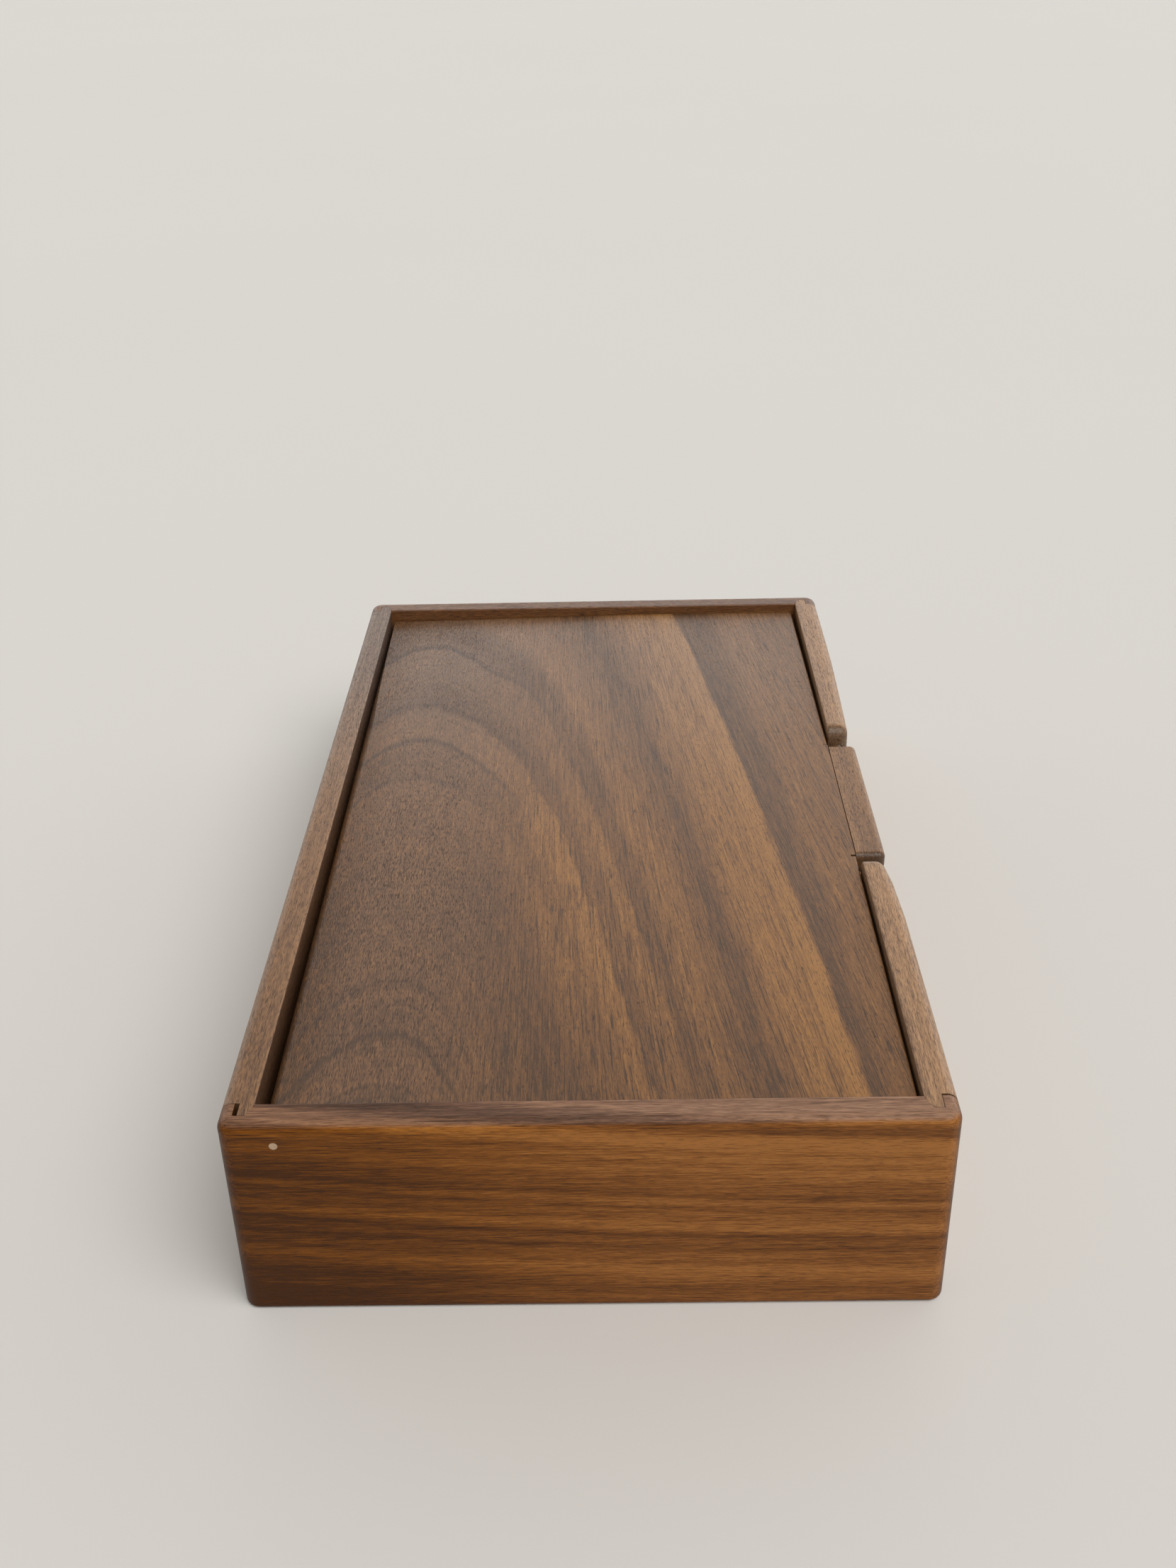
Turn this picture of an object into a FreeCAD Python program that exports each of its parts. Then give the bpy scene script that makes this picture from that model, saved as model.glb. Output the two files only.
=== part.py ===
import FreeCAD, Part
import math
import os
import Sketcher

# A hinged wooden box with a hidden lock.
# +X is the opening side, +Y is the back, +Z is up, and the origin is the centre of the underside.

# Driving dimensions, in millimetres
SIZES = {
    "box_width": 134.0,
    "box_depth": 235.0,
    "box_height": 45.7,
    "wall": 6.35,
    "corner_round": 3.0,
    "edge_round": 2.2,
    "foot_round": 1.0,
    "soft_edge": 0.4,
    "tongue_length": 3.175,
    "tongue_width": 3.175,
    "tongue_bevel": 1.25,
    "tongue_root": 0.85,
    "glue_line": 0.1,
    "open_shoulder": 0.45,
    "chip_tongue": 0.5,
    "chip_dado": 0.3,
    "chip_depth": 6.0,
    "bottom_thick": 3.2,
    "bottom_rise": 3.2,
    "groove_depth": 2.5,
    "panel_play": 0.3,
    "lid_thick": 4.76,
    "lid_recess": 2.19,
    "lid_gap_left": 1.6,
    "lid_gap_right": 0.6,
    "lid_gap_end": 0.6,
    "lid_lean_left": 0.9,
    "lid_lean_right": 0.7,
    "lid_round": 2.2,
    "lid_droop": 1.1,
    "droop_width": 69.0,
    "droop_length": 70.0,
    "kerf_width": 0.45,
    "kerf_depth": 1.1,
    "seam_width": 0.2,
    "seam_depth": 0.8,
    "pin_inset": 10.3,
    "pin_radius": 0.78,
    "pin_reach": 12.0,
    "pin_bevel": 0.25,
    "running_play": 0.05,
    "notch_width": 61.0,
    "notch_round": 3.0,
    "notch_corner": 1.5,
    "hollow_front": 2.2,
    "hollow_back": 1.2,
    "hollow_front_run": 22.0,
    "hollow_back_run": 43.5,
    "hollow_fade": 24.0,
    "rest_gap": 0.3,
    "tab_length": 52.4,
    "tab_round": 1.4,
    "tab_corner": 1.6,
    "lock_radius": 0.8,
    "lock_rise": 1.8,
    "lock_length": 24.0,
    "lock_sunk": 0.5,
    "lock_catch": 3.2,
    "lock_nose": 5.4,
    "lock_end_gap": 0.3,
    "waist_radius": 0.4,
    "socket_play": 0.25,
    "brad_radius": 0.5,
    "brad_length": 5.0,
    "brad_point": 0.8,
    "brad_gap": 0.15,
}

doc = FreeCAD.newDocument("hinged_box")
sheet = doc.addObject("Spreadsheet::Sheet", "sizes")
for row, (alias, number) in enumerate(SIZES.items(), start=1):
    sheet.set(f"A{row}", alias)
    sheet.set(f"B{row}", str(number))
    sheet.setAlias(f"B{row}", alias)
doc.recompute()


class Size:
    """A length that carries its value and the sheet formula that gives it."""

    def __init__(self, value, formula):
        self.value = value
        self.formula = formula

    def __add__(self, other):
        other = as_size(other)
        return Size(self.value + other.value, f"({self.formula} + {other.formula})")

    def __sub__(self, other):
        other = as_size(other)
        return Size(self.value - other.value, f"({self.formula} - {other.formula})")

    def __neg__(self):
        return Size(-self.value, f"-({self.formula})")

    def __mul__(self, factor):
        return Size(self.value * factor, f"({self.formula} * {factor})")

    def __truediv__(self, divisor):
        return Size(self.value / divisor, f"({self.formula} / {divisor})")


def as_size(number):
    """A plain number becomes a size with itself as its formula."""
    return number if isinstance(number, Size) else Size(number, str(number))


def driving(alias):
    """The size held in one cell of the sheet."""
    return Size(SIZES[alias], f"sizes.{alias}")


# Box sizes that follow from the sheet
wall = driving("wall")
box_height = driving("box_height")
half_width = driving("box_width") / 2
half_depth = driving("box_depth") / 2
inner_x = half_width - wall
inner_y = half_depth - wall
corner_round = driving("corner_round")
edge_round = driving("edge_round")
foot_round = driving("foot_round")
soft_edge = driving("soft_edge")
glue_line = driving("glue_line")
tongue_length = driving("tongue_length")
tongue_width = driving("tongue_width")
tongue_bevel = driving("tongue_bevel")
tongue_root = driving("tongue_root")
groove_depth = driving("groove_depth")
groove_low = driving("bottom_rise")
groove_high = groove_low + driving("bottom_thick")

# Lid and hinge sizes: the hinge axis runs front to back at half the lid's thickness
half_lid = driving("lid_thick") / 2
hinge_x = driving("pin_inset") - half_width
hinge_z = box_height - driving("lid_recess") - half_lid
lid_left = hinge_x + inner_x - driving("lid_gap_left")
lid_right = inner_x - driving("lid_gap_right") - hinge_x
lid_end = inner_y - driving("lid_gap_end")
lean_left = driving("lid_lean_left")
lean_right = driving("lid_lean_right")
kerf_width = driving("kerf_width")
kerf_depth = driving("kerf_depth")
pin_radius = driving("pin_radius")
pin_reach = driving("pin_reach")
running_play = driving("running_play")

# Notch and tab sizes
notch_end = driving("notch_width") / 2
notch_floor = hinge_z - half_lid - driving("rest_gap")
tab_end = driving("tab_length") / 2
tab_width = half_width - lid_right - hinge_x

# Lock sizes: each lock pin slides in a bore beside the notch and catches in a socket of the tab
lock_radius = driving("lock_radius")
lock_z = notch_floor + driving("lock_rise")
lock_length = driving("lock_length")
lock_nose = driving("lock_nose")
lock_tip = notch_end + driving("lock_sunk")
lock_catch = driving("lock_catch")
lock_travel = lock_tip - tab_end + lock_catch
bore_end = lock_tip + lock_length + driving("lock_end_gap")
waist_radius = driving("waist_radius")
brad_radius = driving("brad_radius")
brad_length = driving("brad_length")
brad_gap = driving("brad_gap")
brad_y = lock_tip + lock_nose + brad_gap + brad_radius
brad_z = lock_z - waist_radius - brad_gap - brad_radius
waist_length = lock_travel + (brad_gap + brad_radius) * 2


# Modelling steps that every piece shares


def new_body(label, place):
    """A body whose placement follows the sheet."""
    body = doc.addObject("PartDesign::Body", label)
    body.Label = label
    for axis, size in zip("xyz", place):
        body.setExpression(f"Placement.Base.{axis}", as_size(size).formula)
    return body


def new_sketch(body, name, plane, offset=0.0):
    """A sketch on one of the body's origin planes, moved along the plane's normal."""
    sketch = body.newObject("Sketcher::SketchObject", name)
    support = next(part for part in body.Origin.OriginFeatures if part.Role == plane)
    sketch.AttachmentSupport = [(support, "")]
    sketch.MapMode = "FlatFace"
    sketch.setExpression("AttachmentOffset.Base.z", as_size(offset).formula)
    return sketch


def fix_point(sketch, element, point, place):
    """Tie a sketch point to the sheet by its two coordinates."""
    for kind, axis_line, coordinate in zip(("DistanceX", "DistanceY"), (-2, -1), place):
        size = as_size(coordinate)
        if size.value == 0:
            sketch.addConstraint(Sketcher.Constraint("PointOnObject", element, point, axis_line))
            continue
        ends = (-1, 1, element, point)
        if size.value < 0:
            ends = (element, point, -1, 1)
            size = -size
        index = sketch.addConstraint(Sketcher.Constraint(kind, *ends, size.value))
        sketch.setExpression(f"Constraints[{index}]", size.formula)


def draw_outline(sketch, corners):
    """A closed outline of straight lines, with every corner tied to the sheet."""
    points = [FreeCAD.Vector(as_size(x).value, as_size(y).value, 0) for x, y in corners]
    count = len(points)
    for index in range(count):
        sketch.addGeometry(Part.LineSegment(points[index], points[(index + 1) % count]))
    for index in range(count):
        sketch.addConstraint(Sketcher.Constraint("Coincident", index, 2, (index + 1) % count, 1))
        fix_point(sketch, index, 1, corners[index])


def draw_circle(sketch, centre, radius):
    """One circle with its centre and radius tied to the sheet."""
    middle = FreeCAD.Vector(as_size(centre[0]).value, as_size(centre[1]).value, 0)
    circle = sketch.addGeometry(Part.Circle(middle, FreeCAD.Vector(0, 0, 1), radius.value))
    index = sketch.addConstraint(Sketcher.Constraint("Radius", circle, radius.value))
    sketch.setExpression(f"Constraints[{index}]", radius.formula)
    centre_point = 3
    fix_point(sketch, circle, centre_point, centre)


def rectangle(low, high):
    """The corners of an upright rectangle."""
    return [low, (high[0], low[1]), high, (low[0], high[1])]


def add_feature(body, kind, name, sketch):
    """A feature that works on a sketch and becomes the body's result."""
    feature = body.newObject(f"PartDesign::{kind}", name)
    feature.Profile = sketch
    body.Tip = feature
    return feature


def pad(body, name, corners, length, middle=False):
    """Raise an outline drawn in plan into a solid."""
    sketch = new_sketch(body, f"{name}_plan", "XY_Plane")
    draw_outline(sketch, corners)
    feature = add_feature(body, "Pad", name, sketch)
    feature.setExpression("Length", length.formula)
    feature.Midplane = middle
    doc.recompute()


def pocket(body, name, sketch, length, middle=False, reverse=False, along=None):
    """Cut a sketch into the solid, straight or along a slant, and make sure that it met wood."""
    before = body.Shape.Volume
    feature = add_feature(body, "Pocket", name, sketch)
    feature.setExpression("Length", length.formula)
    feature.Midplane = middle
    feature.Reversed = reverse
    if along:
        feature.UseCustomVector = True
        feature.Direction = along
    doc.recompute()
    if body.Shape.Volume >= before:
        raise RuntimeError(f"{name} cuts nothing")


def drill_end(body, name, centre, radius, end, side, depth):
    """A blind round hole along Y, drilled inwards from the end face: side is -1 in front, 1 behind."""
    sketch = new_sketch(body, f"{name}_mark", "XZ_Plane", end * -side)
    draw_circle(sketch, centre, radius)
    pocket(body, name, sketch, depth, reverse=side > 0)


def round_edges(body, name, radius, chosen):
    """Round the edges whose ends and middle all pass the test."""
    base = body.Tip
    names = []
    for index, edge in enumerate(base.Shape.Edges, start=1):
        first, last = edge.ParameterRange
        places = [edge.valueAt(first + (last - first) * share) for share in (0.0, 0.5, 1.0)]
        if all(chosen(place) for place in places):
            names.append(f"Edge{index}")
    if not names:
        raise RuntimeError(f"{name} finds no edge")
    feature = body.newObject("PartDesign::Fillet", name)
    feature.Base = (base, names)
    feature.setExpression("Radius", radius.formula)
    body.Tip = feature
    doc.recompute()


def turned(label, place, profile):
    """A round piece turned about Y: the profile's pairs are a radius and a place along the axis."""
    body = new_body(label, place)
    sketch = new_sketch(body, f"{label}_profile", "XY_Plane")
    draw_outline(sketch, profile)
    feature = add_feature(body, "Revolution", f"{label}_turning", sketch)
    feature.ReferenceAxis = (sketch, ["V_Axis"])
    doc.recompute()
    return body


def same(one, other):
    """True for two coordinates that agree to a micron."""
    return abs(one - as_size(other).value) < 0.001


# Front and back boards


def end_board(label, side):
    """A board across an end of the box, with a dado for each side board's tongue.

    side is -1 in front and 1 at the back. The origin is the foot of the outer face.
    """
    body = new_body(label, (0, half_depth * side, 0))
    dado_side = inner_x + tongue_width + glue_line
    dado_floor = wall - tongue_length - glue_line
    right_end = [
        (half_width, as_size(0)),
        (half_width, wall),
        (dado_side, wall),
        (dado_side, dado_floor),
        (inner_x + tongue_bevel, dado_floor),
        (inner_x, wall - tongue_root),
        (inner_x, wall),
    ]
    left_end = [(-across, inward) for across, inward in reversed(right_end)]
    plan = [(across, inward * -side) for across, inward in right_end + left_end]
    pad(body, f"{label}_stock", plan, box_height)

    groove = new_sketch(body, f"{label}_groove_mark", "YZ_Plane")
    inner_face = wall * -side
    groove_back = (wall - groove_depth) * -side
    draw_outline(groove, rectangle((groove_back, groove_low), (inner_face, groove_high)))
    pocket(body, f"{label}_groove", groove, dado_side * 2, middle=True)

    hole = new_sketch(body, f"{label}_hinge_mark", "XZ_Plane")
    draw_circle(hole, (hinge_x, hinge_z), pin_radius)
    pocket(body, f"{label}_hinge_hole", hole, wall * 3, middle=True)
    round_end_board(body, label, inner_face)
    return body


def round_end_board(body, label, inner_face):
    """Round an end board's two outer corners, then its top and foot along the outside."""
    def corner(place):
        return same(abs(place.x), half_width) and same(place.y, 0)

    def outside(place):
        in_corner_x = abs(place.x) > half_width.value - corner_round.value
        in_corner = in_corner_x and abs(place.y) < corner_round.value
        return in_corner or same(place.y, 0) or same(abs(place.x), half_width)

    round_edges(body, f"{label}_corners", corner_round, corner)
    round_edges(body, f"{label}_top", edge_round, lambda at: same(at.z, box_height) and outside(at))
    round_edges(body, f"{label}_foot", foot_round, lambda at: same(at.z, 0) and outside(at))
    round_edges(body, f"{label}_lip", soft_edge,
                lambda at: same(at.z, box_height) and same(at.y, inner_face) and abs(at.x) <= inner_x.value)


# Left and right boards


def tongue_end(shoulder_gap):
    """A side board's back end in plan: how far in from the outer face, and how far along."""
    shoulder = inner_y - shoulder_gap
    tongue_tip = inner_y + tongue_length
    return [
        (as_size(0), shoulder),
        (wall - tongue_width, shoulder),
        (wall - tongue_width, tongue_tip),
        (wall - tongue_bevel, tongue_tip),
        (wall, inner_y + tongue_root),
    ]


def side_board(label, side, front_gap):
    """A board along a side of the box, with a tongue at each end and a gap at its front shoulder.

    side is -1 on the left and 1 on the right. The origin is the foot of the outer face.
    """
    body = new_body(label, (half_width * side, 0, 0))
    back_end = tongue_end(glue_line)
    front_end = [(inward, -along) for inward, along in reversed(tongue_end(front_gap))]
    plan = [(inward * -side, along) for inward, along in back_end + front_end]
    pad(body, f"{label}_stock", plan, box_height)

    groove = new_sketch(body, f"{label}_groove_mark", "XZ_Plane")
    inner_face = wall * -side
    groove_back = (wall - groove_depth) * -side
    draw_outline(groove, rectangle((groove_back, groove_low), (inner_face, groove_high)))
    pocket(body, f"{label}_groove", groove, half_depth * 2, middle=True)
    return body


def chip(body, name, low, high):
    """Break a small corner out of a joint, down from the top of the box."""
    mark = new_sketch(body, f"{name}_mark", "XY_Plane", box_height)
    draw_outline(mark, rectangle(low, high))
    pocket(body, name, mark, driving("chip_depth"))


def chip_front_left_joint(left_side, front_board):
    """The tongue and the dado of the front left joint have both lost a splinter, which leaves a void."""
    tongue_face = wall - tongue_width
    chip(left_side, "tongue_chip", (tongue_face, -inner_y - tongue_length),
         (tongue_face + driving("chip_tongue"), -inner_y + glue_line))
    dado_face = -inner_x - tongue_width - glue_line
    chip(front_board, "dado_chip", (dado_face - driving("chip_dado"), wall - tongue_length), (dado_face, wall))


def hollow_for_fingers(body):
    """Hollow the right board's outer face around the tab: upright beside the notch, then fading out below it."""
    front = driving("hollow_front")
    back = driving("hollow_back")
    front_run = driving("hollow_front_run")
    back_run = driving("hollow_back_run")
    outline = [
        (as_size(0), -notch_end - front_run),
        (front * -0.25, -notch_end - front_run * 0.4),
        (-front, -tab_end),
        (-back, tab_end),
        (back * -0.4, notch_end + back_run * 0.5),
        (as_size(0), notch_end + back_run),
        (front, notch_end + back_run),
        (front, -notch_end - front_run),
    ]
    turn = notch_floor - edge_round - soft_edge
    upright = box_height - turn
    fade = driving("hollow_fade")
    for name, top, drop, lean in (("upper", box_height, upright, 0.0), ("lower", turn, fade, front.value)):
        mark = new_sketch(body, f"{name}_hollow_mark", "XY_Plane", top)
        draw_outline(mark, outline)
        pocket(body, f"{name}_hollow", mark, drop, along=FreeCAD.Vector(lean, 0, -drop.value))


def cut_notch(body):
    """Open the right board's top for the tab, and round the notch's upper and lower corners."""
    notch = new_sketch(body, "notch_mark", "YZ_Plane")
    draw_outline(notch, rectangle((-notch_end, notch_floor), (notch_end, box_height + 1)))
    pocket(body, "notch", notch, wall * 3, middle=True)
    for name, height in (("notch_round", box_height), ("notch_corner", notch_floor)):
        round_edges(body, f"{name}_edges", driving(name),
                    lambda at: same(at.z, height) and same(abs(at.y), notch_end))


def bore_for_lock(body):
    """Drill the lock pins' bores on from both ends of the notch, and the brads' cross holes."""
    bore = new_sketch(body, "lock_bore_mark", "XZ_Plane")
    draw_circle(bore, (wall / -2, lock_z), lock_radius + running_play)
    pocket(body, "lock_bores", bore, bore_end * 2, middle=True)
    for name, side in (("front", -1), ("back", 1)):
        cross = new_sketch(body, f"{name}_brad_mark", "YZ_Plane", -wall)
        draw_circle(cross, (brad_y * side, brad_z), brad_radius)
        pocket(body, f"{name}_brad_hole", cross, brad_length, reverse=True)


def round_side_board(body, label, side):
    """Round a side board's outer foot and top, round the notch as well, and ease its inner top edge."""
    inner_face = wall * -side

    def outside(place):
        return abs(place.x) < driving("hollow_front").value + soft_edge.value

    def outer_top(place):
        over_floor = place.z > notch_floor.value - soft_edge.value
        in_notch = over_floor and abs(place.y) < (notch_end + driving("notch_round")).value
        return outside(place) and (same(place.z, box_height) or in_notch)

    round_edges(body, f"{label}_top", edge_round, outer_top)
    round_edges(body, f"{label}_foot", foot_round, lambda at: same(at.z, 0) and outside(at))
    round_edges(body, f"{label}_lip", soft_edge,
                lambda at: same(at.z, box_height) and same(at.x, inner_face))


# Bottom, lid and tab


def bottom_panel():
    """A loose panel that floats in the grooves of the four boards."""
    body = new_body("bottom_panel", (0, 0, groove_low))
    reach = groove_depth - driving("panel_play")
    corner = (inner_x + reach, inner_y + reach)
    pad(body, "bottom_stock", rectangle((-corner[0], -corner[1]), corner), groove_high - groove_low)
    return body


def plane_corner(body):
    """Take the lid's back left corner down, as its board has cupped there: the cut slopes away to nothing."""
    width = driving("droop_width")
    length = driving("droop_length")
    mark = new_sketch(body, "droop_mark", "XY_Plane", half_lid)
    across = FreeCAD.Vector(width.value, length.value, 0)
    corner_reach = width.value * length.value / across.Length
    slope = math.degrees(math.atan(driving("lid_droop").value / corner_reach))
    mark.AttachmentOffset = FreeCAD.Placement(mark.AttachmentOffset.Base, FreeCAD.Rotation(across, -slope))
    mark.setExpression("AttachmentOffset.Base.x", (-lid_left).formula)
    mark.setExpression("AttachmentOffset.Base.y", (lid_end - length).formula)
    draw_outline(mark, rectangle((width * -0.2, length * -0.5), (width * 1.3, length * 1.2)))
    pocket(body, "lid_droop", mark, half_lid, reverse=True)


def lid_panel():
    """The lid, a little out of square towards the back.

    Its origin is on the hinge axis, at the middle of its length. A saw kerf runs in beside each end of the tab.
    """
    body = new_body("lid_panel", (hinge_x, 0, hinge_z))
    back_kerf = [
        (lid_right, tab_end),
        (lid_right - kerf_depth, tab_end),
        (lid_right - kerf_depth, tab_end + kerf_width),
        (lid_right, tab_end + kerf_width),
    ]
    front_kerf = [(across, -along) for across, along in reversed(back_kerf)]
    back_corners = [(lid_right - lean_right, lid_end), (-lid_left - lean_left, lid_end)]
    front_corners = [(-lid_left, -lid_end), (lid_right, -lid_end)]
    pad(body, "lid_stock", back_kerf + back_corners + front_corners + front_kerf, half_lid * 2, middle=True)
    for name, side in (("front", -1), ("back", 1)):
        drill_end(body, f"lid_{name}_bore", (0, 0), pin_radius + running_play, lid_end, side, pin_reach)

    def free_edge(place):
        on_right = place.x > (lid_right - lean_right).value - soft_edge.value
        beside_tab = on_right and abs(place.y) > tab_end.value + kerf_width.value / 2
        drooped = same(place.y, lid_end) and place.z > (half_lid - driving("lid_droop") - soft_edge).value
        return drooped or same(place.z, half_lid) and (beside_tab or same(place.y, -lid_end))

    def hinge_edge(place):
        return place.x < -lid_left.value + soft_edge.value and same(abs(place.z), half_lid)

    round_edges(body, "lid_hinge_edge", driving("lid_round"), hinge_edge)
    plane_corner(body)
    round_edges(body, "lid_free_edges", soft_edge, free_edge)
    return body


def lift_tab():
    """The tab on the lid's free edge: its origin is the middle of the face that is glued on.

    The glue has shrunk back from the top of that face, which leaves a thin open seam.
    """
    body = new_body("lift_tab", (hinge_x + lid_right, 0, hinge_z))
    plan = rectangle((as_size(0), -tab_end), (tab_width, tab_end))
    pad(body, "tab_stock", plan, half_lid * 2, middle=True)
    socket_depth = lock_catch + driving("lock_end_gap")
    socket_x = tab_width - wall / 2
    for name, side in (("front", -1), ("back", 1)):
        drill_end(body, f"tab_{name}_socket", (socket_x, lock_z - hinge_z), lock_radius + driving("socket_play"),
                  tab_end, side, socket_depth)
    seam = new_sketch(body, "tab_seam_mark", "XZ_Plane")
    seam_foot = half_lid - driving("seam_depth")
    draw_outline(seam, rectangle((as_size(0), seam_foot), (driving("seam_width"), half_lid)))
    pocket(body, "tab_seam", seam, tab_end * 2, middle=True)

    def corner(place):
        return same(place.x, tab_width) and same(abs(place.y), tab_end)

    round_edges(body, "tab_corners", driving("tab_corner"), corner)
    round_edges(body, "tab_outer_edges", driving("tab_round"),
                lambda at: same(abs(at.z), half_lid) and same(at.x, tab_width))
    return body


# Pins and brads


def hinge_pin(label, side):
    """A dowel through an end board into the lid: its origin is its outer end."""
    body_end = wall + driving("lid_gap_end") + pin_reach - running_play
    bevel = driving("pin_bevel")
    profile = [
        (as_size(0), as_size(0)),
        (pin_radius, as_size(0)),
        (pin_radius, body_end - bevel),
        (pin_radius - bevel, body_end),
        (as_size(0), body_end),
    ]
    inwards = [(radius, along * -side) for radius, along in profile]
    return turned(label, (hinge_x, half_depth * side, hinge_z), inwards)


def lock_pin(label, side):
    """A sliding pin with a waist for its brad: its origin is its tip, at the notch."""
    bevel = driving("pin_bevel")
    profile = [
        (as_size(0), as_size(0)),
        (lock_radius - bevel, as_size(0)),
        (lock_radius, bevel),
        (lock_radius, lock_nose),
        (waist_radius, lock_nose),
        (waist_radius, lock_nose + waist_length),
        (lock_radius, lock_nose + waist_length),
        (lock_radius, lock_length),
        (as_size(0), lock_length),
    ]
    outwards = [(radius, along * side) for radius, along in profile]
    return turned(label, (half_width - wall / 2, lock_tip * side, lock_z), outwards)


def stop_brad(label, side):
    """A headless brad across a lock pin's waist, driven in from the board's inner face."""
    brad = doc.addObject("Part::Cylinder", f"{label}_shank")
    brad.setExpression("Radius", brad_radius.formula)
    brad.setExpression("Height", (brad_length - driving("brad_point")).formula)
    point = doc.addObject("Part::Cone", f"{label}_point")
    point.setExpression("Radius1", brad_radius.formula)
    point.setExpression("Radius2", (brad_radius / 4).formula)
    point.setExpression("Height", driving("brad_point").formula)
    point.setExpression("Placement.Base.z", (brad_length - driving("brad_point")).formula)
    whole = doc.addObject("Part::Fuse", label)
    whole.Base = brad
    whole.Tool = point
    whole.Label = label
    along_x = FreeCAD.Rotation(FreeCAD.Vector(0, 1, 0), 90)
    whole.Placement = FreeCAD.Placement(FreeCAD.Vector(), along_x)
    for axis, size in zip("xyz", (inner_x, brad_y * side, brad_z)):
        whole.setExpression(f"Placement.Base.{axis}", size.formula)
    doc.recompute()
    return whole


# The whole box
left_side = side_board("left_side", -1, glue_line)
round_side_board(left_side, "left_side", -1)
right_side = side_board("right_side", 1, driving("open_shoulder"))
hollow_for_fingers(right_side)
cut_notch(right_side)
round_side_board(right_side, "right_side", 1)
bore_for_lock(right_side)
front_board = end_board("front_board", -1)
back_board = end_board("back_board", 1)
chip_front_left_joint(left_side, front_board)

pieces = [front_board, back_board, left_side, right_side, bottom_panel(), lid_panel(), lift_tab()]
for name, side in (("front", -1), ("back", 1)):
    pieces.append(hinge_pin(f"{name}_hinge_pin", side))
    pieces.append(lock_pin(f"{name}_lock_pin", side))
    pieces.append(stop_brad(f"{name}_stop_brad", side))
doc.recompute()

for item in doc.Objects:
    if "Invalid" in item.State or "Error" in item.State:
        raise RuntimeError(f"{item.Label} failed: {item.State}")
for piece in pieces:
    if piece.Shape.isNull() or not piece.Shape.isValid():
        raise RuntimeError(f"{piece.Label} has no valid shape")
    if len(piece.Shape.Solids) != 1:
        raise RuntimeError(f"{piece.Label} has {len(piece.Shape.Solids)} solids")

os.makedirs("parts", exist_ok=True)
for piece in pieces:
    piece.Shape.exportStep(f"parts/{piece.Label}.step")
    print(f"{piece.Label}: {piece.Shape.Volume:.1f} mm3")
print(f"lock travel {lock_travel.value:.2f} mm, hinge at x {hinge_x.value:.2f} z {hinge_z.value:.2f}")
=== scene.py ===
"""Looks of a low walnut box with an inset lid that turns on two pins.

Places and sizes in the materials are in millimetres. Everything else is in metres, as the frame is.
"""
import math
from collections import namedtuple

import bmesh
import bpy
from mathutils import Matrix, Vector


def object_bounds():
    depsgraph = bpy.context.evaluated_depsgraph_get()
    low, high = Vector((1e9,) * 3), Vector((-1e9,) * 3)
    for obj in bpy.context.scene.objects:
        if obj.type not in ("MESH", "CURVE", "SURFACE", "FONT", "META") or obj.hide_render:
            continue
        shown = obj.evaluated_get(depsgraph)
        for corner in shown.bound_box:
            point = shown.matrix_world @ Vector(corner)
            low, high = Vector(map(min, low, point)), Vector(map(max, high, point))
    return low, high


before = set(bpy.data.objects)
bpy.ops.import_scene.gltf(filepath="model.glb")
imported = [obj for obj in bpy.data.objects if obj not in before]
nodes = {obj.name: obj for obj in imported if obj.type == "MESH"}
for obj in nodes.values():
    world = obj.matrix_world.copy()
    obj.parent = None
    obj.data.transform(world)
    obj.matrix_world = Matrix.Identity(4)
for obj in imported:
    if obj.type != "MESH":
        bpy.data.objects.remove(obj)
cad_low, cad_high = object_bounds()

MM_PER_M = 1000.0


# Node graphs, written as formulas

class Value:
    """One number that varies over a surface. Arithmetic on it adds nodes to its graph."""

    def __init__(self, graph, socket):
        self.graph = graph
        self.socket = socket

    def __add__(self, other):
        return self.graph.math("ADD", self, other)

    def __sub__(self, other):
        return self.graph.math("SUBTRACT", self, other)

    def __rsub__(self, other):
        return self.graph.math("SUBTRACT", other, self)

    def __mul__(self, other):
        return self.graph.math("MULTIPLY", self, other)

    def __truediv__(self, other):
        return self.graph.math("DIVIDE", self, other)

    __radd__ = __add__
    __rmul__ = __mul__


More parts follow.
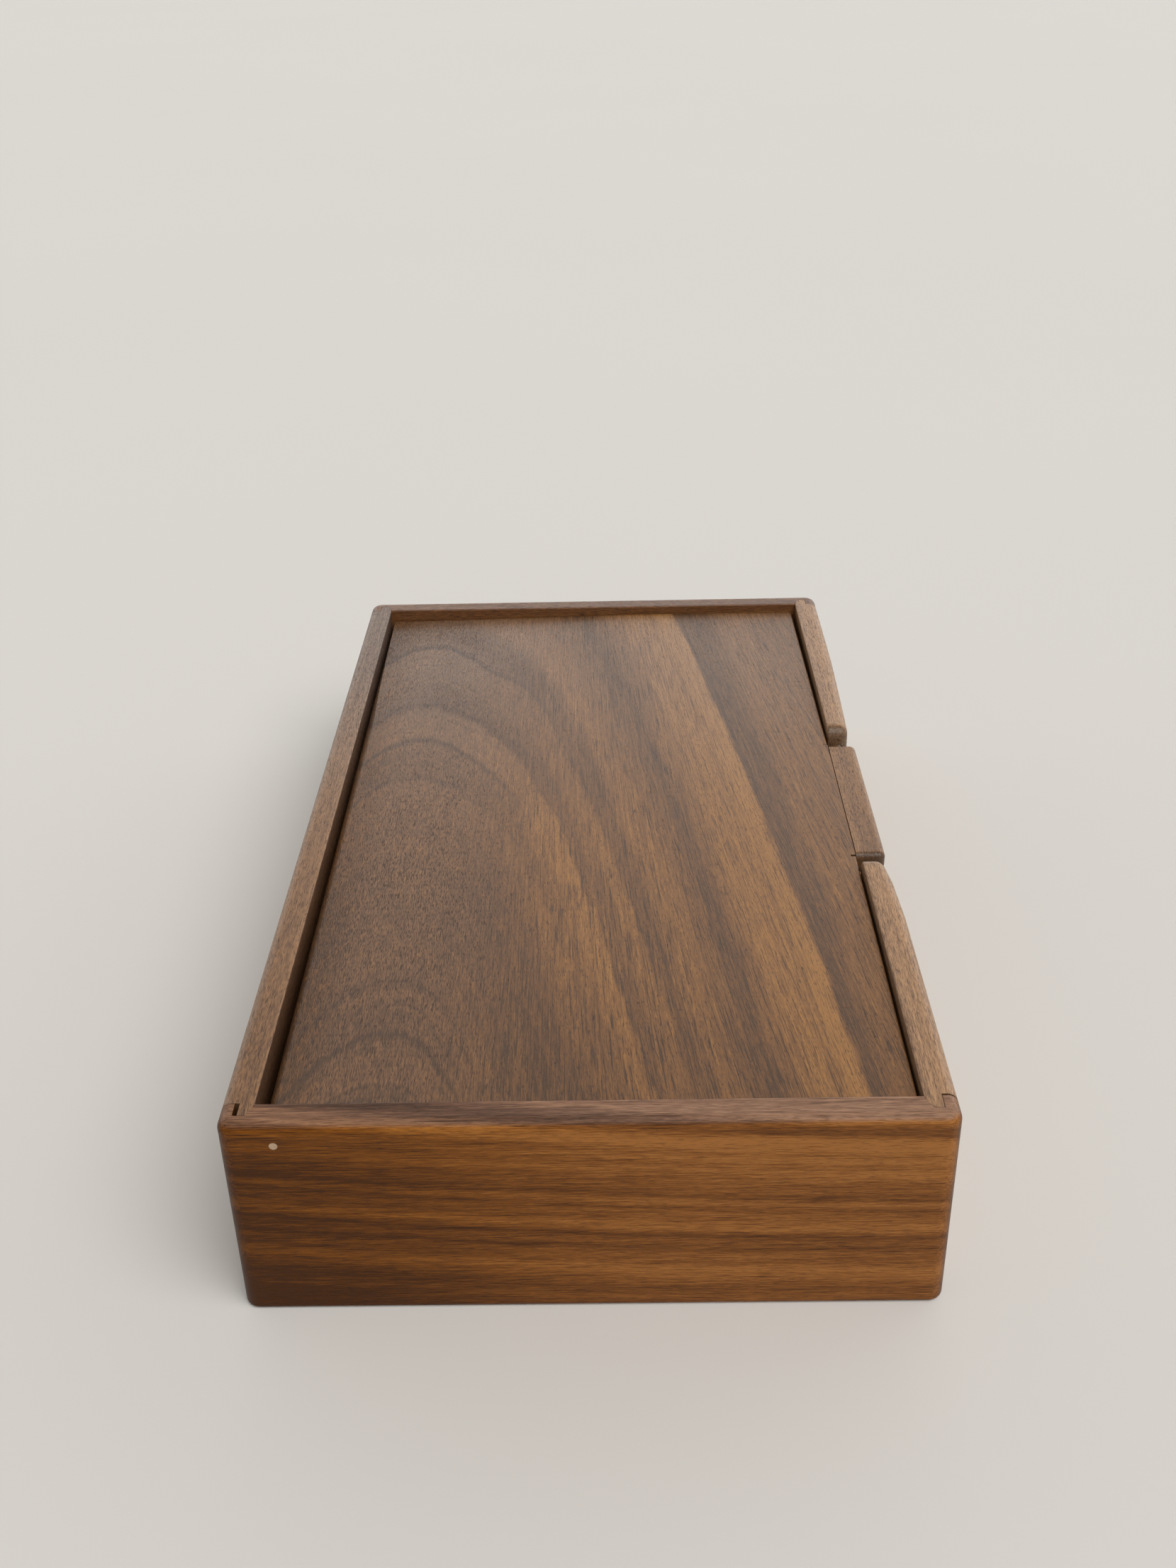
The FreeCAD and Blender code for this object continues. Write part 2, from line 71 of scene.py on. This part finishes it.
class Graph:
    """The nodes of a material or of the world, ending in its one shader."""

    def __init__(self, owner):
        owner.use_nodes = True
        self.owner = owner
        self.tree = owner.node_tree
        self.shader = next(n for n in self.tree.nodes if n.type in ("BSDF_PRINCIPLED", "BACKGROUND"))

    def feed(self, socket, source):
        """Links a value to a socket, or sets a constant on it."""
        if isinstance(source, Value):
            self.tree.links.new(source.socket, socket)
        else:
            socket.default_value = source

    def node(self, kind, inputs, output=0, **settings):
        """Adds a node, feeds its inputs by name or number, and returns one of its outputs."""
        made = self.tree.nodes.new(kind)
        for key, setting in settings.items():
            setattr(made, key, setting)
        for key, source in inputs.items():
            self.feed(made.inputs[key], source)
        return Value(self, made.outputs[output])

    def math(self, operation, a, b=0.0):
        return self.node("ShaderNodeMath", {0: a, 1: b}, operation=operation)

    def root(self, a):
        return self.math("SQRT", a)

    def magnitude(self, a):
        return self.math("ABSOLUTE", a)

    def above(self, a, floor):
        return self.math("MAXIMUM", a, floor)

    def smooth(self, a, low, high):
        """Rises smoothly from 0 where a is low to 1 where it is high."""
        inputs = {"Value": a, "From Min": low, "From Max": high}
        return self.node("ShaderNodeMapRange", inputs, interpolation_type="SMOOTHSTEP")

    def split(self, vector):
        """A vector's three numbers."""
        made = self.tree.nodes.new("ShaderNodeSeparateXYZ")
        self.feed(made.inputs[0], vector)
        return [Value(self, socket) for socket in made.outputs]

    def position(self):
        """The point's place in the frame, as three values in millimetres."""
        place = self.node("ShaderNodeTexCoord", {}, output="Object")
        return self.split(self.node("ShaderNodeVectorMath", {0: place, "Scale": MM_PER_M}, operation="SCALE"))

    def facing(self, axis, low=0.5, high=0.95):
        """Rises to 1 where the surface faces along an axis of the frame."""
        normal = self.split(self.node("ShaderNodeTexCoord", {}, output="Normal"))
        return self.smooth(self.magnitude(normal["XYZ".index(axis)]), low, high)

    def noise(self, a, b, c, detail=2.0, roughness=0.5):
        """Smooth noise about 0, mostly within 0.3 of it, that changes over one unit of a, b and c."""
        place = self.node("ShaderNodeCombineXYZ", {0: a, 1: b, 2: c})
        inputs = {"Vector": place, "Scale": 1.0, "Detail": detail, "Roughness": roughness}
        return self.node("ShaderNodeTexNoise", inputs) - 0.5

    def ramp(self, a, stops):
        """A colour for each value of a, from (value, colour) stops in rising order."""
        low, high = stops[0][0], stops[-1][0]
        share = self.node("ShaderNodeMapRange", {"Value": a, "From Min": low, "From Max": high})
        made = self.tree.nodes.new("ShaderNodeValToRGB")
        elements = made.color_ramp.elements
        while len(elements) < len(stops):
            elements.new(0.5)
        for element, (value, colour) in zip(elements, stops):
            element.position = (value - low) / (high - low)
            element.color = (*colour, 1.0)
        self.feed(made.inputs[0], share)
        return Value(self, made.outputs[0])

    def bands(self, a, stops):
        """A number for each value of a, from (value, number) stops in rising order."""
        return self.ramp(a, [(value, (number,) * 3) for value, number in stops])

    def marks(self, a, places, before, after):
        """1 where a is at one of the places, falling to 0 on either side of it."""
        stops = [(places[0] - 2 * before, 0.0)]
        for place in places:
            stops += [(place - before, 0.0), (place, 1.0), (place + after, 0.0)]
        return self.bands(a, stops)

    def mix(self, share, a, b):
        """Colour a where share is 0, and colour b where it is 1."""
        return self.node("ShaderNodeMix", {0: share, 6: a, 7: b}, output=2, data_type="RGBA")

    def finish(self, colour, roughness, height, bump_depth):
        """Feeds the shader. bump_depth is in millimetres, for heights from 0 to 1."""
        inputs = {"Strength": 1.0, "Distance": bump_depth / MM_PER_M, "Height": height}
        normal = self.node("ShaderNodeBump", inputs)
        self.feed(self.shader.inputs["Base Color"], colour)
        self.feed(self.shader.inputs["Roughness"], roughness)
        self.feed(self.shader.inputs["Normal"], normal)
        return self.owner


def new_material(name):
    return Graph(bpy.data.materials.new(name))


# Walnut

# Each board's colours, from its darkest wood to its lightest
LID_TONES = ((0.074, 0.038, 0.018), (0.146, 0.069, 0.028), (0.220, 0.104, 0.038), (0.335, 0.164, 0.055))
FRONT_TONES = ((0.062, 0.021, 0.005), (0.137, 0.047, 0.010), (0.230, 0.084, 0.018), (0.36, 0.145, 0.036))
BACK_TONES = ((0.060, 0.025, 0.012), (0.120, 0.052, 0.023), (0.190, 0.086, 0.037), (0.28, 0.132, 0.058))
LEFT_TONES = ((0.095, 0.044, 0.020), (0.185, 0.092, 0.039), (0.270, 0.136, 0.056), (0.34, 0.180, 0.078))
RIGHT_TONES = ((0.130, 0.060, 0.022), (0.285, 0.139, 0.050), (0.405, 0.205, 0.072), (0.50, 0.267, 0.097))
PORE = (0.034, 0.013, 0.006, 1.0)
END_GRAIN = (0.040, 0.020, 0.011, 1.0)

# How light the growth bands are, at places on the board's ring scale
LID_BANDS = (
    (0, 0.44), (26, 0.48), (29, 0.34), (44, 0.34), (60, 0.22), (72, 0.13), (102, 0.13), (116, 0.24),
    (130, 0.42), (134, 0.28), (146, 0.42), (156, 0.61), (167, 0.59), (170, 0.25), (181, 0.31),
    (189, 0.49), (202, 0.49), (205, 0.26), (217, 0.26), (230, 0.58), (266, 0.34), (286, 0.12),
    (302, 0.43), (322, 0.62), (345, 0.72), (353, 0.62), (370, 0.86), (383, 0.82), (388, 0.06),
    (408, 0.14), (434, 0.44), (540, 0.40),
)
FRONT_BANDS = (
    (0, 0.25), (3.3, 0.42), (5.2, 0.30), (10.3, 0.72), (12.2, 0.44), (14.4, 0.50), (15.6, 0.22),
    (17.2, 0.46), (19.0, 0.18), (20.8, 0.66), (22.4, 0.58), (23.3, 0.38), (24.6, 0.46), (26.0, 0.30),
    (27.4, 0.62), (28.8, 0.24), (31.5, 0.46), (32.6, 0.42), (35.0, 0.68), (36.8, 0.54), (38.6, 0.68),
    (39.8, 0.56), (41.8, 0.92), (43.6, 0.74), (45.3, 0.20), (47.0, 0.22), (48.6, 0.60), (54, 0.5),
)
MIDDLE_BAND = 0.45

# Dark lines between the lid's arches, and how far each reaches on the ring scale
LID_ARCS = (28, 46, 131, 150, 170, 205)
ARC_BEFORE = 2.5
ARC_AFTER = 1.5

# How light the lid's arches are, at places back from the front
ARCH_SHADES = (
    (10, 0.09), (35, 0.13), (65, 0.36), (90, 0.47), (110, 0.40), (140, 0.25), (160, 0.20), (190, 0.24),
    (230, 0.28),
)

# Sizes along the fibres and across them, and the depth of the relief they give the surface
SWAY = (50.0, 12.0)
RAGGED = (11.0, 0.5)
STREAK = (40.0, 0.7)
HAIR = (9.0, 0.24)
CROWD = (12.0, 4.0)
DRIFT = (90.0, 32.0)
FIBRE_WIDTH = 0.2
FINE_PORE_WIDTH = 0.15
COARSE_PORE_WIDTH = 0.22
SPECK_LENGTH = 4.0
SPECK_WIDTH = 0.35
RELIEF_DEPTH = 0.04

# Sizes across the growth rings, as shares of the board's ring size, and along the fibres
GROWTH = (2.2, 500.0)
GROWTH_LINE = (0.42, 200.0)
GROWTH_RIM = (0.13, 300.0)
SWAY_SHARE = 0.6

# What each feature adds to the tone, which picks a colour: 0 for the darkest, 1 for the lightest
MIDDLE_TONE = 0.49
GROWTH_GAIN = 1.5
LINE_GAIN = 0.5
RIM_GAIN = 0.55
DRIFT_GAIN = 0.35
STREAK_GAIN = 0.35
STRAIGHT_STREAK_GAIN = 0.75
STRAIGHT_FIBRE_LOSS = 0.4
HAIR_LOSS = 0.62
HAIR_BALANCE = 0.10
ARC_LOSS = 0.3

# A point's place in the wood: along the fibres, across and through them, and on the scale of the growth
# rings. grain_end is 1 where the surface cuts the fibres, contrast scales the bands, shade lightens the wood
# and on some boards holds painted shade, warmth keeps its colour strong and where it drops on some boards
# paints sheen, straight is 1 where dark hairs take the place of curved lines, and open_pores is how strongly
# the pores show.
Place = namedtuple("Place", "along across through ring grain_end contrast shade warmth straight open_pores",
                   defaults=(1.0, 0.0, 1.0, 0.4, 0.6))


def grain(g, wood, size, slide=0.0, lift=0.0, **settings):
    """Noise that is drawn out along the fibres, moved along them by slide or through them by lift."""
    length, width = size
    return g.noise(wood.along / length + slide, wood.across / width, wood.through / width + lift, **settings)


def growth(g, wood, ring, size, ring_size, seed, **settings):
    """Noise that follows the growth rings."""
    share, length = size
    return g.noise(ring / (share * ring_size), wood.along / length, seed, **settings)


def swaying_ring(g, wood, seed, ring_size, fray):
    """The place on the ring scale, where the rings sway a little and have ragged edges."""
    sway = grain(g, wood, SWAY, slide=seed, detail=1.0)
    ragged = grain(g, wood, RAGGED, slide=seed, detail=3.0, roughness=0.65)
    return wood.ring + SWAY_SHARE * ring_size * sway + fray * ragged


def short_pores(g, wood, crowd, fibre_length):
    """1 in short pores of two sizes, with more of them where crowd is high."""
    fine = grain(g, wood, (0.6 * fibre_length, FINE_PORE_WIDTH), detail=0.0) + crowd
    coarse = grain(g, wood, (fibre_length, COARSE_PORE_WIDTH), lift=5.0, detail=0.0) + crowd
    return g.above(0.8 * g.smooth(fine, 0.08, 0.16), g.smooth(coarse, 0.16, 0.23))


def walnut(name, layout, tones, bands=None, arcs=(), seed=0.0, ring_size=3.6, fray=1.5, gloss=0.45,
           fibre_length=2.2, fibre_show=1.3):
    """Oiled walnut, with its fibres and rings laid out by the layout function.

    bands and arcs lie on the layout's ring scale. fray is how far the rings' edges are drawn out, and
    fibre_show how strongly single fibres show.
    """
    g = new_material(name)
    wood = layout(g, *g.position())
    curved = 1.0 - wood.straight

    ring = swaying_ring(g, wood, seed, ring_size, fray)
    if bands:
        band = g.bands(ring, bands) - MIDDLE_BAND
    else:
        band = GROWTH_GAIN * growth(g, wood, ring, GROWTH, ring_size, seed, detail=3.0)
    lines = growth(g, wood, ring, GROWTH_LINE, ring_size, seed + 7.0, detail=3.0, roughness=0.65)
    rims = growth(g, wood, ring, GROWTH_RIM, ring_size, seed + 9.0, detail=2.0)
    tone = MIDDLE_TONE + wood.contrast * band + LINE_GAIN * lines + RIM_GAIN * curved * rims
    if arcs:
        tone = tone - ARC_LOSS * curved * g.marks(ring, arcs, ARC_BEFORE, ARC_AFTER)

    drift = g.noise(wood.along / DRIFT[0], wood.across / DRIFT[1], seed + 3.0, detail=1.0)
    streaks = grain(g, wood, STREAK, detail=3.0, roughness=0.7)
    hairs = grain(g, wood, HAIR, lift=seed, detail=1.0)
    fibres = grain(g, wood, (fibre_length, FIBRE_WIDTH), detail=1.0)
    # wood.shade holds painted shade on some boards
    tone = tone + DRIFT_GAIN * drift + wood.shade
    tone = tone + (STREAK_GAIN + STRAIGHT_STREAK_GAIN * wood.straight) * streaks
    tone = tone + fibre_show * (1.0 - STRAIGHT_FIBRE_LOSS * wood.straight) * fibres
    dark_hairs = g.smooth(hairs + 0.2 * streaks, 0.03, 0.22)
    tone = tone + wood.straight * (HAIR_BALANCE - HAIR_LOSS * dark_hairs)

    steps = [(i / (len(tones) - 1), colour) for i, colour in enumerate(tones)]
    # Where warmth drops, it paints sheen on some boards
    colour = g.node("ShaderNodeHueSaturation", {"Color": g.ramp(tone, steps), "Saturation": wood.warmth})
    crowd = 0.14 * lines + 0.12 * grain(g, wood, CROWD) - 0.2 * curved * band - 0.05 * wood.straight
    pores = short_pores(g, wood, crowd, fibre_length)
    colour = g.mix(wood.open_pores * pores, colour, PORE)
    cut_fibres = g.noise(wood.across / SPECK_WIDTH, wood.through / SPECK_WIDTH, wood.along / SPECK_LENGTH,
                         detail=1.0)
    specks = g.smooth(cut_fibres, -0.1, 0.15)
    colour = g.mix(wood.grain_end * (0.5 + 0.32 * specks), colour, END_GRAIN)

    roughness = 0.36 + 0.16 * pores + 0.2 * fibres
    height = 0.5 + 0.4 * fibres - 0.8 * pores
    g.shader.inputs["Specular IOR Level"].default_value = gloss
    return g.finish(colour, roughness, height, bump_depth=RELIEF_DEPTH)


# The lid's ring scale runs back from its front on the line that its arches stand on
ARCH_LINE_X = -43.0
ARCH_ROUNDING = 20.0
ARCH_SLOPE = 1.35
ARCH_WIDENING = 0.0356
ARCH_LEAN = 0.25
ARCH_TAPER = 0.0041
STRIPE_EASING = 0.0000776
TIP_TWIST = 0.0086
TIP_LEAN = 0.80
EDGE_FAN = 0.14
EDGE_FAN_BACK = 100.0
LID_TOP = 43.5
LID_RINGS_RISE = 5.0
LID_FIBRE_LEAN = 0.13


def lid_rings(g, x, back):
    """Arches that point to the back, about a line near the left, and open into stripes on the right."""
    off = x - ARCH_LINE_X
    right = g.above(off, 0.0)
    arch = ARCH_SLOPE * (g.root(off * off + ARCH_ROUNDING ** 2) - ARCH_ROUNDING) + ARCH_WIDENING * off * off
    easing = STRIPE_EASING * right * right * right
    ring = back * (1.0 - ARCH_TAPER * off) + arch + ARCH_LEAN * off - easing
    near_line = off * g.smooth(off, 30.0, 4.0)
    ring = ring + (TIP_TWIST * back - TIP_LEAN) * near_line
    right_edge = g.smooth(ring, 392.0, 415.0)
    return ring + EDGE_FAN * (EDGE_FAN_BACK - back) * right_edge


def lid_layout(g, x, y, z):
    """Flat-sawn wood, with many pores in the arches, and strong bands and dark hairs in the stripes."""
    back = y - cad_low.y * MM_PER_M
    # Towards the back: greys the wood as painted sheen and fades its pores
    far = g.smooth(back, 90.0, 210.0)
    striped = g.smooth(x, -38.0, -8.0)
    # Painted shade along the lid's left and back edges beside the walls, and a painted loss of sheen that
    # keeps the colour strong there
    painted_edge_shade = g.above(g.smooth(x, -48.0, -59.0), g.smooth(y, 108.6, 110.2))
    across = x + LID_FIBRE_LEAN * g.smooth(x, -25.0, 45.0) * y
    waves = (3.0 + 9.0 * striped) * g.noise(y / 20.0, across / 4.0, 3.0, detail=2.0)
    ring = lid_rings(g, x, back) + waves
    left_shade = g.bands(back, ARCH_SHADES) - 0.25 - 0.07 * g.smooth(ring, 203.0, 212.0)
    right_shade = 0.02 - 0.07 * g.smooth(back, 50.0, 10.0)
    return Place(
        along=y,
        across=across,
        through=z,
        ring=ring + LID_RINGS_RISE * (z - LID_TOP),
        grain_end=g.facing("Y"),
        contrast=0.5 + 0.5 * striped,
        # shade: the edge term is painted shade
        shade=left_shade + (right_shade - left_shade) * striped - 0.22 * painted_edge_shade,
        # warmth: the drop towards the back is painted sheen, and the edge term paints its loss
        warmth=0.95 + 0.09 * striped + 0.15 * painted_edge_shade - 0.14 * far,
        straight=0.1 + 0.9 * striped,
        open_pores=0.78 - 0.18 * striped - 0.36 * far,
    )


FRONT_HALF_LENGTH = 60.0
FRONT_MIDDLE = 22.0
FRONT_HALF_HEIGHT = 20.0
FRONT_FACE_Y = -117.5


def front_layout(g, x, y, z):
    """Stripes from end to end, which fall a little to the right, with painted shade to the left and painted
    sheen on top.
    """
    u = x / FRONT_HALF_LENGTH
    v = (z - FRONT_MIDDLE) / FRONT_HALF_HEIGHT
    stripes = z + 3.8 * u - 1.6 * u * u + 0.73 * u * v + 0.56 * u * u * v
    # The top face, where painted sheen greys the wood
    top = g.facing("Z") * g.smooth(z, 40.0, 44.0)
    # Painted light: the face grows lighter, and a little greyer, towards the right
    painted_light_rightward = g.smooth(x, -75.0, 25.0)
    return Place(
        along=x,
        across=z,
        through=y,
        ring=stripes + 0.7 * (y - FRONT_FACE_Y),
        grain_end=g.facing("X"),
        shade=0.6 * painted_light_rightward - 0.41 + (0.06 - 0.12 * painted_light_rightward) * top,
        warmth=1.06 - 0.06 * painted_light_rightward - 0.28 * top,
        straight=0.6,
        open_pores=0.35,
    )


def back_layout(g, x, y, z):
    """Plain stripes, with painted sheen that greys the top."""
    ring = z + 0.6 * y + 1.5 * g.noise(x / 90, 0.0, z / 60)
    return Place(x, z, y, ring, g.facing("X"), shade=0.15, warmth=1.08 - 0.13 * g.facing("Z"))


def side_layout(g, x, y, z):
    """Plain stripes along a side board."""
    ring = z + 0.9 * x + 2.5 * g.noise(y / 110, 4.0, z / 60)
    return Place(y, z, x, ring, g.facing("Y", 0.05, 0.5))


def right_layout(g, x, y, z):
    return side_layout(g, x, y, z)._replace(warmth=0.88, open_pores=0.5)


def left_layout(g, x, y, z):
    """Lighter about the middle of the board's length, greyer to the back, and dark with painted shade on its
    face towards the lid.
    """
    # Painted shade on the board's face towards the lid, where the gap lies in shadow
    painted_gap_shade = g.facing("X") * g.smooth(x, -62.0, -61.0)
    shade = 0.25 * g.smooth(g.magnitude(y), 90.0, 20.0) - 0.5 * painted_gap_shade
    warmth = 1.0 - 0.3 * g.smooth(y, -40.0, 110.0)
    return side_layout(g, x, y, z)._replace(shade=shade, warmth=warmth)


def tab_layout(g, x, y, z):
    return side_layout(g, x, y, z)._replace(shade=0.12)


def bottom_layout(g, x, y, z):
    """Broad stripes along the bottom."""
    ring = 0.8 * x + 3.0 * z + 4.0 * g.noise(x / 80, y / 160, 2.0)
    return Place(y, x, z, ring, g.facing("Y"))


BOARDS = {
    "front_board": walnut("front_walnut", front_layout, FRONT_TONES, FRONT_BANDS, seed=1.0, ring_size=0.9,
                          gloss=0.15, fibre_length=3.0, fibre_show=0.9),
    "back_board": walnut("back_walnut", back_layout, BACK_TONES, seed=14.0),
    "left_side": walnut("left_walnut", left_layout, LEFT_TONES, seed=23.0),
    "right_side": walnut("right_walnut", right_layout, RIGHT_TONES, seed=31.0),
    "bottom_panel": walnut("bottom_walnut", bottom_layout, LEFT_TONES, seed=42.0, ring_size=8.0),
    "lid_panel": walnut("lid_walnut", lid_layout, LID_TONES, LID_BANDS, LID_ARCS, seed=5.0, ring_size=9.0,
                        fray=2.6),
    "lift_tab": walnut("tab_walnut", tab_layout, LEFT_TONES, seed=57.0),
}


# Dowels and steel pins

DOWEL_DARK = (0.34, 0.22, 0.13)
DOWEL_PALE = (0.56, 0.42, 0.28)
STEEL_DARK = (0.42, 0.42, 0.43)
STEEL_PALE = (0.66, 0.66, 0.67)


def dowel_wood():
    """Pale dowel with fine fibres along it."""
    g = new_material("dowel_wood")
    x, y, z = g.position()
    fibres = g.noise(x / 0.25, y / 6.0, z / 0.25, detail=2.0)
    colour = g.ramp(0.5 + 1.2 * fibres, [(0.0, DOWEL_DARK), (1.0, DOWEL_PALE)])
    return g.finish(colour, 0.5 + 0.2 * fibres, fibres, bump_depth=0.03)


def steel():
    """Bright drawn steel with fine lines along it."""
    g = new_material("drawn_steel")
    x, y, z = g.position()
    lines = g.noise(x / 0.12, y / 4.0, z / 0.12, detail=2.0)
    colour = g.ramp(0.5 + lines, [(0.0, STEEL_DARK), (1.0, STEEL_PALE)])
    g.shader.inputs["Metallic"].default_value = 1.0
    return g.finish(colour, 0.32 + 0.3 * lines, lines, bump_depth=0.01)


pale = dowel_wood()
bright = steel()
for name, obj in nodes.items():
    if name.endswith("hinge_pin"):
        obj.material_slots[0].material = pale
    elif name in BOARDS:
        obj.material_slots[0].material = BOARDS[name]
    else:
        obj.material_slots[0].material = bright


# Floor, light and camera

FLOOR_REACH = 8.0
FLOOR_CLOUD = 400.0
FLOOR_DARK = (0.655, 0.64, 0.615)
FLOOR_PALE = (0.68, 0.665, 0.64)
BACKDROP_HEIGHT = 6.0
BACKDROP_SIDES = 64
BACKDROP_GLOW = (0.690, 0.670, 0.617, 1.0)
BLACK = (0.0, 0.0, 0.0, 1.0)


def pale_floor():
    mesh = bpy.data.meshes.new("floor")
    reach = FLOOR_REACH
    corners = [(-reach, -reach, 0), (reach, -reach, 0), (reach, reach, 0), (-reach, reach, 0)]
    mesh.from_pydata(corners, [], [(0, 1, 2, 3)])
    floor = bpy.data.objects.new("floor", mesh)
    bpy.context.scene.collection.objects.link(floor)
    g = new_material("floor_pale")
    x, y, z = g.position()
    cloud = g.noise(x / FLOOR_CLOUD, y / FLOOR_CLOUD, 0.0)
    colour = g.ramp(0.5 + cloud, [(0.0, FLOOR_DARK), (1.0, FLOOR_PALE)])
    mesh.materials.append(g.finish(colour, 0.8 + 0.1 * cloud, cloud, bump_depth=0.01))


def pale_backdrop():
    """A round backdrop in the floor's own tone. Only the camera sees it, so it doesn't light the box."""
    bm = bmesh.new()
    bmesh.ops.create_cone(bm, segments=BACKDROP_SIDES, radius1=FLOOR_REACH, radius2=FLOOR_REACH,
                          depth=BACKDROP_HEIGHT, matrix=Matrix.Translation((0, 0, 0.5 * BACKDROP_HEIGHT)))
    mesh = bpy.data.meshes.new("backdrop")
    bm.to_mesh(mesh)
    bm.free()
    backdrop = bpy.data.objects.new("backdrop", mesh)
    bpy.context.scene.collection.objects.link(backdrop)
    backdrop.visible_diffuse = False
    backdrop.visible_glossy = False
    backdrop.visible_transmission = False
    backdrop.visible_shadow = False
    g = new_material("backdrop_pale")
    g.shader.inputs["Base Color"].default_value = BLACK
    g.shader.inputs["Specular IOR Level"].default_value = 0.0
    g.shader.inputs["Emission Color"].default_value = BACKDROP_GLOW
    g.shader.inputs["Emission Strength"].default_value = 1.0
    mesh.materials.append(g.owner)


def soft_sun(name, towards, spread, strength, colour):
    """A sun that stands in the given direction and looks as wide as spread, in degrees."""
    light = bpy.data.lights.new(name, "SUN")
    light.angle = math.radians(spread)
    light.energy = strength
    light.color = colour
    lamp = bpy.data.objects.new(name, light)
    lamp.rotation_euler = Vector(towards).to_track_quat("Z", "Y").to_euler()
    bpy.context.scene.collection.objects.link(lamp)


def soft_world(behind, overhead, before, colour):
    """Light from all round, strongest from low behind the box and a little weaker from the left."""
    g = Graph(bpy.data.worlds.new("studio"))
    x, y, z = g.split(g.node("ShaderNodeTexCoord", {}, output="Generated"))
    rear = overhead + (behind - overhead) * g.smooth(z, 0.8, 0.3)
    strength = before + (rear - before) * g.smooth(y, -0.3, 0.4)
    strength = strength * (0.75 + 0.25 * g.smooth(x, -0.7, 0.2))
    g.shader.inputs["Color"].default_value = (*colour, 1.0)
    g.feed(g.shader.inputs["Strength"], strength)
    bpy.context.scene.world = g.owner


PHOTO_SIZE = (1659, 2212)
FOCAL_PIXELS = 2281.8
SENSOR = 36.0
CAMERA_RIGHT = (0.99975, 0.00636, -0.02140)
CAMERA_UP = (0.01543, 0.49571, 0.86835)
CAMERA_X = 0.00556
CAMERA_BEFORE_BOX = 0.2197
CAMERA_HEIGHT = 0.24043
NEAREST = 0.01
FARTHEST = 50.0


def photo_camera():
    """The photograph's own view: about 30 degrees down, from close to the front."""
    data = bpy.data.cameras.new("camera")
    data.sensor_width = SENSOR
    data.lens = FOCAL_PIXELS / max(PHOTO_SIZE) * SENSOR
    data.clip_start = NEAREST
    data.clip_end = FARTHEST
    camera = bpy.data.objects.new("camera", data)
    right = Vector(CAMERA_RIGHT).normalized()
    back = right.cross(Vector(CAMERA_UP)).normalized()
    up = back.cross(right).normalized()
    turn = Matrix((right, up, back)).transposed().to_4x4()
    place = Vector((CAMERA_X, cad_low.y - CAMERA_BEFORE_BOX, CAMERA_HEIGHT))
    camera.matrix_world = Matrix.Translation(place) @ turn
    bpy.context.scene.collection.objects.link(camera)
    bpy.context.scene.camera = camera


pale_floor()
pale_backdrop()
soft_sun("daylight", towards=(0.35, -0.45, 0.86), spread=50.0, strength=2.24, colour=(1.0, 0.97, 0.93))
soft_world(behind=1.58, overhead=0.22, before=0.32, colour=(1.0, 0.99, 0.975))
photo_camera()
bpy.context.scene.view_settings.view_transform = "Standard"
